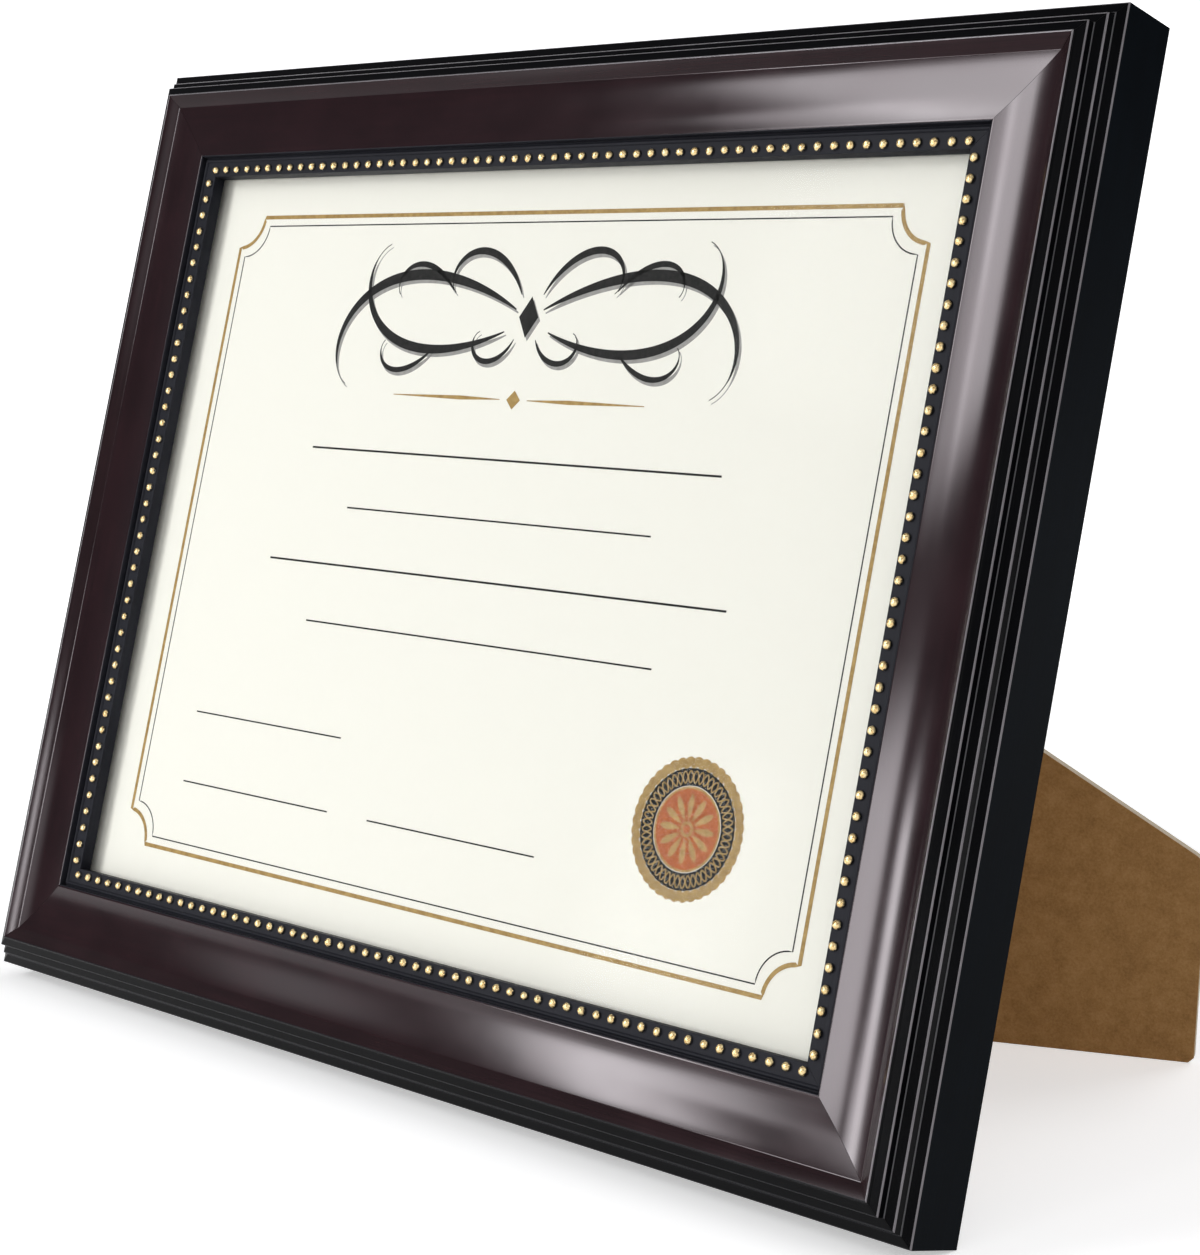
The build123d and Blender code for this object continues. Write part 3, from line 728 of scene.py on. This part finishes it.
def flourish(black, grey):
    """Mirrored pen scrolls round a lozenge, each with a soft shadow."""
    for ink_piece, (du, dv) in ((grey, SHADOW_SHIFT), (black, (0, 0))):
        for side in (-1, 1):
            for start, direction, length, bend, curl, width in SCROLLS:
                path = scroll(start, direction, length, bend, curl, width, side)
                ink_piece.ribbon([(u + du, v + dv, w) for u, v, w in path])
        ink_piece.polygon(lozenge(HEADING_AT[0] + du, HEADING_AT[1] + dv, *HEADING_LOZENGE))


def blank_form(black, gold):
    """Ruled lines to write on, with a divider between two of them."""
    for v, length, width in RULES:
        black.ribbon([(-length / 2, v, width), (length / 2, v, width)])
    for (u, v), length in SIGNATURES:
        black.ribbon([(u - length / 2, v, SIGNATURE_RULE), (u + length / 2, v, SIGNATURE_RULE)])
    for side in (-1, 1):
        gold.ribbon([(side * u, DIVIDER_V, width) for u, width in DIVIDER])
    gold.polygon(lozenge(0, DIVIDER_V, DIVIDER_LOZENGE, DIVIDER_LOZENGE))


def seal(black, gold, brick):
    """Round rosette: scalloped rim, dark band with a woven line, and a ring of petals."""
    r = SEAL_R
    gold.ribbon(ring(SEAL_AT, r * RIM, r * RIM_W, SCALLOPS, r * SCALLOP), closed=True)
    black.ribbon(ring(SEAL_AT, r * BAND, r * BAND_W), closed=True)
    brick.polygon([point[:2] for point in ring(SEAL_AT, r * MIDDLE, 0, steps=96)])
    for turn in (0, math.pi):
        gold.ribbon(ring(SEAL_AT, r * BAND, WEAVE_RULE, WEAVES, r * WEAVE, turn), closed=True)
    gold.ribbon(ring(SEAL_AT, r * MIDDLE, MIDDLE_RULE), closed=True)
    for i in range(PETALS):
        angle = 2 * math.pi * i / PETALS
        u, v = r * math.cos(angle), r * math.sin(angle)
        gold.ribbon([(SEAL_AT[0] + u * out, SEAL_AT[1] + v * out, r * wide) for out, wide in PETAL])
    gold.ribbon(ring(SEAL_AT, r * EYE, r * EYE_W, steps=48), closed=True)


def sheet_print():
    """A generic blank award form: border, flourish, rules and a rosette."""
    grey = Print("print_shadow", 0, ink("print_grey", (0.30, 0.29, 0.28), (0.38, 0.37, 0.36)))
    black = Print("print_black", 1, ink("print_black", (0.006, 0.006, 0.006), (0.016, 0.015, 0.015)))
    brick = Print("print_brick", 1, ink("print_brick", (0.36, 0.085, 0.018), (0.48, 0.13, 0.03)))
    gold = Print("print_gold", 2, ink("print_gold", (0.33, 0.20, 0.06), (0.47, 0.31, 0.11), 0.42))
    flourish(black, grey)
    blank_form(black, gold)
    seal(black, gold, brick)
    gold.ribbon(notched_frame(BORDER_INSET, BORDER_RULE), closed=True)
    black.ribbon(notched_frame(BORDER_INSET + INNER_GAP, INNER_RULE), closed=True)
    for one in (grey, black, brick, gold):
        one.lay()


# Back of the frame

def flat_spot(row_point):
    """Place on the rear face, in millimetres, of a point of the row frame."""
    spot = FLAT.inverted() @ Vector(row_point)
    return spot.x, spot.y


def on_back(u, v, turn=0):
    """Place on the rear face, with local Z out of the back and local Y down the frame."""
    return (FLAT @ Matrix.Translation((u, v, 0)) @ Matrix.Rotation(math.pi, 4, "X")
            @ Matrix.Rotation(math.radians(turn), 4, "Z"))


def hinge_place():
    """Middle of the hinge pin: X along it, Y away from the leg, Z towards the board."""
    fold = joint("leg_fold")
    along = Vector(fold["axis"]).normalized()
    toward = (FLAT.to_3x3() @ Vector((0, 0, 1))).normalized()
    turn = Matrix((along, toward.cross(along), toward)).transposed().to_4x4()
    return Matrix.Translation(Vector(fold["pos_m"])) @ turn @ Matrix.Scale(MM, 4)


def leg_place():
    """The same place, turned with the open leg."""
    return hinge_place() @ Matrix.Rotation(math.radians(-joint("leg_fold")["range_deg"][0]), 4, "X")


def lathe(profile, segments=32):
    """Turned shape about Z, through (radius, height) points from the bottom up."""
    verts = []
    for radius, height in profile:
        for i in range(segments):
            angle = 2 * math.pi * i / segments
            verts.append((radius * math.cos(angle), radius * math.sin(angle), height))
    return verts, banded(len(profile), segments)


def dome(radius, low, rim, height, steps=9):
    """Profile of a domed head from its seat up: a straight rim, then a quarter ellipse."""
    points = [(radius, low), (radius, low + rim)]
    for i in range(1, steps):
        angle = math.pi / 2 * i / steps
        points.append((radius * math.cos(angle), low + rim + (height - rim) * math.sin(angle)))
    return points + [(0.03 * radius, low + height)]


def gathered(name, shape, places, material, node_name, body="frame"):
    """One piece made of a shape set at several places, standing for a node."""
    verts, faces = [], []
    for place in places:
        base = len(verts)
        verts += [place @ Vector(v) for v in shape[0]]
        faces += [tuple(base + i for i in face) for face in shape[1]]
    thing = face_out(new_piece(name, verts, faces, [material], Matrix.Identity(4), body))
    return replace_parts(smooth(thing), node_name)


def dressed(name, node_name, material, bevel):
    """Copy of a node's solid with clean faces and eased edges, standing for it."""
    source = frame["nodes"][node_name]
    shape = bmesh.new()
    shape.from_mesh(source.data)
    bmesh.ops.remove_doubles(shape, verts=shape.verts, dist=WELD * MM)
    bmesh.ops.dissolve_limit(shape, angle_limit=math.radians(1), verts=shape.verts, edges=shape.edges)
    verts = [tuple(v.co) for v in shape.verts]
    shape.verts.index_update()
    faces = [tuple(v.index for v in face.verts) for face in shape.faces]
    shape.free()
    body = next(b for b, nodes in frame["record"]["behaviour"]["bodies"].items() if node_name in nodes)
    thing = new_piece(name, verts, faces, [material], Matrix.Identity(4), body)
    ease = thing.modifiers.new("eased", "BEVEL")
    ease.width, ease.segments = bevel * MM, 2
    ease.limit_method, ease.angle_limit = "ANGLE", math.radians(40)
    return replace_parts(smooth(thing, 40), node_name)


def mark_cut_edges(thing, face_normal):
    """Marks the faces that stand across a board, where its core shows and a painted highlight lies along the edge.
    """
    marks = [float(abs(p.normal.dot(face_normal)) < 0.5) for p in thing.data.polygons]
    thing.data.attributes.new("cut_edge", "FLOAT", "FACE").data.foreach_set("value", marks)


def boards():
    """Backing board and easel leg of the same fibreboard, and the card behind the sheet."""
    brown = fibreboard("hardboard", (0.275, 0.143, 0.047), (0.370, 0.199, 0.068), (0.455, 0.260, 0.101),
                       (0.66, 0.57, 0.43))
    leg = dressed("easel_leg_board", "easel_leg", brown, 0.2)
    mark_cut_edges(leg, leg_place().to_3x3() @ Vector((0, 0, 1)) / MM)
    backing = dressed("backing_hardboard", "backing_board", brown, 0.2)
    mark_cut_edges(backing, FLAT.to_3x3() @ Vector((0, 0, 1)) / MM)
    frame["nodes"]["filler_board"].material_slots[0].material = ink(
        "filler_card", (0.30, 0.28, 0.25), (0.42, 0.40, 0.36), 0.9)


def hinge():
    """Both leaves, the pin and the domed rivets."""
    plate = plated_steel("hinge_plate", (0.36, 0.355, 0.34), (0.56, 0.55, 0.53), 0.34)
    bright = plated_steel("rivet_nickel", (0.50, 0.49, 0.47), (0.70, 0.69, 0.66), 0.24)
    dressed("board_leaf", "hinge_board_leaf", plate, 0.12)
    dressed("leg_leaf", "hinge_leg_leaf", plate, 0.12)
    half, r = LEAF_W / 2, PIN_D / 2
    pin = lathe([(r - PIN_EASE, -half), (r, PIN_EASE - half), (r, half - PIN_EASE), (r - PIN_EASE, half)])
    gathered("hinge_pin_rod", pin, [hinge_place() @ Matrix.Rotation(math.pi / 2, 4, "Y")], bright,
             "hinge_pin")
    sides = (-RIVET_PITCH / 2, RIVET_PITCH / 2)
    turned = Matrix.Rotation(math.pi, 4, "X")
    head = dome(RIVET_HEAD_D / 2, 0, RIVET_RIM, RIVET_HEAD_H)
    board_grip, leg_grip = LEAF_T, LEAF_T + LEG_T
    board_shape = lathe([(RIVET_D / 2, -board_grip), (RIVET_D / 2, 0)] + head)
    tail = [(RIVET_TAIL_TIP_D / 2, -leg_grip - RIVET_TAIL_H), (RIVET_TAIL_D / 2, -leg_grip - RIVET_TAIL_RIM),
            (RIVET_TAIL_D / 2, -leg_grip), (RIVET_D / 2, -leg_grip)]
    leg_shape = lathe(tail + [(RIVET_D / 2, 0)] + head)
    seat = BARREL_R + BARREL_GAP - LEAF_T
    gathered("board_rivet_heads", board_shape,
             [hinge_place() @ Matrix.Translation((x, BOARD_RIVET_AT, seat)) @ turned for x in sides],
             bright, "board_rivets")
    gathered("leg_rivet_heads", leg_shape,
             [leg_place() @ Matrix.Translation((x, -LEG_RIVET_AT, -BARREL_R)) @ turned for x in sides],
             bright, "leg_rivets", "leg")


def bend_lift(past):
    """Lift of the button's strip at a distance past the middle of its bend."""
    slope = math.tan(math.radians(BUTTON_BEND))
    if past < -BEND_HALF:
        return 0
    if past > BEND_HALF:
        return past * slope
    return (past + BEND_HALF) ** 2 / (4 * BEND_HALF) * slope


def button_shape():
    """Pressed strip with round ends and eased edges, its tip bent up for the finger."""
    r, far = BUTTON_W / 2, BUTTON_REACH - BUTTON_W / 2
    arcs = [math.radians(a) for a in range(6, 91, 7)]
    verts = []
    rings = [(BUTTON_EASE, 0), (0.3 * BUTTON_EASE, 0.3 * BUTTON_EASE), (0, BUTTON_EASE)]
    rings += [(inset, BUTTON_T - z) for inset, z in reversed(rings)]
    for inset, z in rings:
        reach = r - inset
        side = [(reach * math.sin(a), -reach * math.cos(a)) for a in arcs]
        side += [(reach, BUTTON_BEND_AT + BEND_HALF * step / 2) for step in range(-2, 3)]
        side += [(reach * math.sin(a), far + reach * math.cos(a)) for a in reversed(arcs)]
        for x, y in side + [(-x, y) for x, y in reversed(side)]:
            verts.append((x, y, BUTTON_PLAY + z + bend_lift(y - BUTTON_BEND_AT)))
    half = len(side)
    count = 2 * half
    faces = banded(len(rings), count)[:-2]
    for base in (0, (len(rings) - 1) * count):
        end = base + count - 1
        faces += [(base + i, base + i + 1, end - i - 1, end - i) for i in range(half - 1)]
    return verts, faces


def screw_shape():
    """Pan-head screw with a cross recess."""
    seat = BUTTON_T + 2 * BUTTON_PLAY
    shank = [(SCREW_D / 2, -SCREW_D), (SCREW_D / 2, seat)]
    blank = lathe(shank + dome(SCREW_HEAD_D / 2, seat, SCREW_RIM, SCREW_HEAD_H))
    head = new_piece("screw_blank", *blank, [], Matrix.Identity(4))
    long, wide = CROSS_REACH, CROSS_HALF
    cross = [(wide, wide), (wide, long), (-wide, long), (-wide, wide), (-long, wide), (-long, -wide),
             (-wide, -wide), (-wide, -long), (wide, -long), (wide, -wide), (long, -wide), (long, wide)]
    top = seat + SCREW_HEAD_H
    recess = prism(cross, top - CROSS_DEPTH, top + CROSS_DEPTH)
    cutter = new_piece("cross_cutter", *recess, [], Matrix.Identity(4))
    for thing in (head, cutter):
        face_out(thing)
    cut = head.modifiers.new("recess", "BOOLEAN")
    cut.object, cut.solver = cutter, "EXACT"
    mesh = bpy.data.meshes.new_from_object(head.evaluated_get(bpy.context.evaluated_depsgraph_get()))
    shape = ([tuple(v.co) for v in mesh.vertices], [tuple(p.vertices) for p in mesh.polygons])
    for thing in (head, cutter):
        bpy.data.objects.remove(thing)
    return shape


BUTTON_TURNS = {"top_left": 0, "top_right": 0, "bottom_left": 180, "bottom_middle": 180,
                "left": -90, "right": 90}


def turn_buttons():
    """Six turn buttons, each on its own body, and their screws."""
    zinc = plated_steel("button_zinc", (0.40, 0.40, 0.39), (0.58, 0.58, 0.56), 0.36)
    steel = plated_steel("screw_steel", (0.34, 0.34, 0.33), (0.52, 0.52, 0.50), 0.30)
    shape, places = button_shape(), []
    for name, turn in BUTTON_TURNS.items():
        places.append(on_back(*flat_spot(joint(f"button_{name}_turn")["pos_m"]), turn))
        gathered(f"button_strip_{name}", shape, places[-1:], zinc, f"turn_button_{name}",
                 f"button_{name}")
    gathered("button_screws", screw_shape(), places, steel, "turn_button_screws")


def hanger_shape():
    """Sawtooth strip with a raised toothed middle between two flat tabs."""
    tab, ease, steps = HANGER_L / 2 - HANGER_TAB, HANGER_EASE, 4
    flat, share = tab - HANGER_RAMP, HANGER_BEND / HANGER_RAMP
    # Stations along the strip: place, inset of both edges, notch in the lower one, lift
    stations = []
    for i in range(steps, -1, -1):
        angle = math.pi / 2 * i / steps
        past, inset = HANGER_CORNER * (1 - math.sin(angle)), HANGER_CORNER * (1 - math.cos(angle))
        stations.append((HANGER_L / 2 - past, inset, 0, 0))
    for bend, low, high in ((tab, 0, share), (flat, 1 - share, 1)):
        stations.append((bend + HANGER_BEND, 0, 0, low * HANGER_RISE))
        stations.append((bend - HANGER_BEND, 0, 0, high * HANGER_RISE))
    other_end = [(-x, inset, notch, lift) for x, inset, notch, lift in reversed(stations)]
    half = HANGER_TEETH * TOOTH_PITCH / 2
    for i in range(2 * HANGER_TEETH + 1):
        depth = TOOTH_DEPTH if i % 2 else 0.0
        stations.append((half - i * TOOTH_PITCH / 2, 0, depth, HANGER_RISE))
    stations += other_end
    verts = []
    for x, inset, notch, lift in stations:
        low, high = inset - HANGER_W / 2, HANGER_W / 2 - inset - notch
        for y, z in ((low, ease), (low + ease, 0), (high - ease, 0), (high, ease), (high, HANGER_T - ease),
                     (high - ease, HANGER_T), (low + ease, HANGER_T), (low, HANGER_T - ease)):
            verts.append((x, y, lift + z))
    return verts, banded(len(stations), 8)


def hangers():
    """Two sawtooth hangers and their nails."""
    metal = plated_steel("hanger_zinc", (0.46, 0.44, 0.38), (0.64, 0.61, 0.53), 0.33)
    steel = plated_steel("nail_bright", (0.44, 0.44, 0.43), (0.62, 0.62, 0.60), 0.30)
    places = {"landscape_hanger": on_back(0, OUTER_H / 2 - HANGER_FROM_EDGE),
              "portrait_hanger": on_back(HANGER_FROM_EDGE - OUTER_W / 2, 0, -90)}
    shape, nail_places = hanger_shape(), []
    for name, place in places.items():
        gathered(name + "_strip", shape, [place], metal, name)
        reach = (HANGER_L - HANGER_TAB) / 2
        nail_places += [place @ Matrix.Translation((x, 0, 0)) for x in (-reach, reach)]
    head = dome(NAIL_HEAD_D / 2, HANGER_T, NAIL_RIM, NAIL_HEAD_H)
    nail = lathe([(NAIL_D / 2, -NAIL_D), (NAIL_D / 2, HANGER_T)] + head)
    gathered("hanger_nail_heads", nail, nail_places, steel, "hanger_nails")


def v_nails():
    """Edges of the bent strips that hold each mitre, just proud of the rear face."""
    steel = plated_steel("v_nail_steel", (0.30, 0.30, 0.30), (0.48, 0.48, 0.47), 0.38)
    leg, thick = NAIL_V_LEG, NAIL_V_T
    bent = [(0, 0), (-leg, 0), (-leg, -thick), (-thick, -thick), (-thick, -leg), (0, -leg)]
    places = []
    for i in range(NAIL_V_COUNT):
        at = REAR_W * (i + 1) / (NAIL_V_COUNT + 1)
        spot = Matrix.Translation((OUTER_W / 2 - at, OUTER_H / 2 - at, 0))
        places += [FLAT @ Matrix.Diagonal((su, sv, 1, 1)) @ spot for su in (-1, 1) for sv in (-1, 1)]
    shape = prism(bent, -NAIL_V_PROUD, NAIL_V_T)
    gathered("mitre_v_nails", shape, places, steel, "corner_v_nails")


# Floor, backdrop, lights and camera, in metres and degrees

FLOOR_SIZE = 40.0               # middle to each side
FLOOR_FADE = (-0.6, -0.25)      # places back over which the floor turns from grey to pale
FLOOR_GLOW = (0.42, 1.0)        # beside the frame and far from it
GLOW_AWAY = (0.3, 1.2)          # distances from the frame over which the glow rises
BACKDROP_AT, BACKDROP_W, BACKDROP_H = 2.6, 2.6, 2.0
PALE, DIM = (0.9, 0.9, 0.9), (0.2, 0.2, 0.2)
AMBIENT = (0.16, 0.16, 0.17)    # sky, for every ray
# Each lamp: name, azimuth, elevation, distance, width, height, radiance and, if unusual, its feather
LAMPS = [
    ("key_high", -35.8, 33.4, 1.4, 12.5, 20.2, 7.8),
    ("key_high_left", -44.6, 44.1, 1.4, 6.4, 18.2, 5.4),
    ("key_high_right", -24.9, 30.0, 1.4, 11.0, 14.0, 5.8),
    ("key_low", -21.5, 8.5, 1.4, 16.5, 14.0, 8.4),
    ("key_strip", -36.7, 2.2, 0.965, 5.2, 17.0, 13.0),
    ("key_strip_low", -32.4, -3.0, 0.965, 3.6, 9.0, 7.0),
    ("key_wash", -48.5, -3.5, 0.6, 7.0, 9.0, 1.1, 5.0),
    ("key_front", 2.0, 6.0, 1.4, 4.0, 10.0, 19.0, 2.0),
    ("front_high", 5.0, 32.0, 1.4, 8.0, 14.0, 1.2),
    ("fill", 42.0, 12.0, 1.5, 26.0, 24.0, 1.7),
    ("top", 25.0, 66.0, 1.7, 27.0, 27.0, 1.2),
    ("side", 95.0, 35.0, 1.8, 26.0, 26.0, 4.0),
    ("rear", 170.0, 40.0, 1.8, 32.0, 28.0, 2.5),
]


def plane(name, corners, material):
    """A flat stage surface."""
    mesh = bpy.data.meshes.new(name)
    mesh.from_pydata(corners, [], [(0, 1, 2, 3)])
    mesh.materials.append(material)
    thing = new_object(name, mesh)


def seen(tree):
    """1 for what is seen directly, in a reflection or through glass, 0 for what only lights."""
    ray = node(tree, "LightPath").outputs
    direct = most(tree, ray["Is Camera Ray"], ray["Is Transmission Ray"])
    return most(tree, direct, ray["Is Glossy Ray"])


def glowing(material, tree, colour, glow):
    """Gives a material its colour and a white glow."""
    lit = node(tree, "BsdfDiffuse", {"Color": colour})
    own = node(tree, "Emission", {"Color": (1, 1, 1, 1), "Strength": glow})
    return surfaced(material, node(tree, "AddShader", {0: lit.outputs[0], 1: own.outputs[0]}))


def floor_paint():
    """Pale paint, grey well in front of the frame, that is seen as white away from its shadow."""
    material, tree = new_material("floor_paint")
    here = position(tree)
    back = node(tree, "SeparateXYZ", {"Vector": here}).outputs["Y"]
    away = node(tree, "VectorMath", {0: here}, operation="LENGTH").outputs["Value"]
    colour = mix_colour(tree, span(tree, back, 0, 1, *FLOOR_FADE), DIM, PALE)
    glow = product(tree, seen(tree), span(tree, away, *FLOOR_GLOW, *GLOW_AWAY))
    return glowing(material, tree, colour, glow)


def backdrop_paint():
    """Pale paint that is seen as white."""
    material, tree = new_material("backdrop_paint")
    return glowing(material, tree, (*PALE, 1), seen(tree))


def stage():
    """Pale floor, and a white backdrop behind the frame as the camera sees it."""
    r = FLOOR_SIZE
    plane("floor", [(-r, -r, 0), (r, -r, 0), (r, r, 0), (-r, r, 0)], floor_paint())
    turn = math.radians(CAMERA_TURN)
    away = Vector((-math.sin(turn), math.cos(turn), 0))
    side = Vector((math.cos(turn), math.sin(turn), 0))
    left, right = (away * BACKDROP_AT + side * end * BACKDROP_W / 2 for end in (-1, 1))
    lift = Vector((0, 0, BACKDROP_H))
    plane("backdrop", [left, right, right + lift, left + lift], backdrop_paint())


def softbox(name, azimuth, elevation, distance, wide, tall, radiance, feather=3.0):
    """Area lamp aimed at the middle of the frame, wide, tall and feathered in degrees as seen from there.
    Azimuth is to the right of straight in front."""
    a, e = math.radians(azimuth), math.radians(elevation)
    toward = Vector((math.sin(a) * math.cos(e), -math.cos(a) * math.cos(e), math.sin(e)))
    lamp = bpy.data.lights.new(name, "AREA")
    lamp.shape = "RECTANGLE"
    lamp.size = 2 * distance * math.tan(math.radians((wide + feather) / 2))
    lamp.size_y = 2 * distance * math.tan(math.radians((tall + feather) / 2))
    lamp.energy = radiance * math.pi * lamp.size * lamp.size_y
    lamp.use_nodes = True
    tree = lamp.node_tree
    spot = node(tree, "SeparateXYZ", {"Vector": node(tree, "NewGeometry").outputs["Parametric"]}).outputs
    level = 1.0
    for axis, edge in (("X", feather / (wide + feather)), ("Y", feather / (tall + feather))):
        for start, end in ((0.0, edge), (1.0, 1.0 - edge)):
            rise = node(tree, "MapRange", {"Value": spot[axis], "From Min": start, "From Max": end},
                        interpolation_type="SMOOTHSTEP")
            level = product(tree, level, rise.outputs["Result"])
    tree.links.new(level, tree.nodes["Emission"].inputs["Strength"])
    thing = new_object(name, lamp)
    middle = FLAT @ Vector((0, 0, CREST_H))
    thing.location = middle + toward * distance
    thing.rotation_mode = "QUATERNION"
    thing.rotation_quaternion = toward.to_track_quat("Z", "Y")
    thing.visible_camera = False


def lights():
    """A window of softboxes at the front, weaker ones round about, and a plain sky."""
    for lamp in LAMPS:
        softbox(*lamp)
    world = bpy.data.worlds.new("studio")
    bpy.context.scene.world = world
    world.use_nodes = True
    world.node_tree.nodes["Background"].inputs["Color"].default_value = (*AMBIENT, 1)


def camera():
    """The photograph's camera."""
    data = bpy.data.cameras.new("camera")
    data.sensor_fit = "AUTO"
    data.sensor_width = SENSOR
    data.lens = LENS
    data.clip_start, data.clip_end = CAMERA_CLIP
    thing = new_object("camera", data)
    thing.location = FLAT @ Vector(CAMERA_AT)
    thing.rotation_euler = (math.radians(90 - CAMERA_DOWN), 0, math.radians(CAMERA_TURN))
    bpy.context.scene.camera = thing
    bpy.context.scene.view_settings.view_transform = "Standard"


rails()
bead_rows()
sheet_and_glass()
sheet_print()
boards()
hinge()
turn_buttons()
hangers()
v_nails()
stage()
lights()
camera()
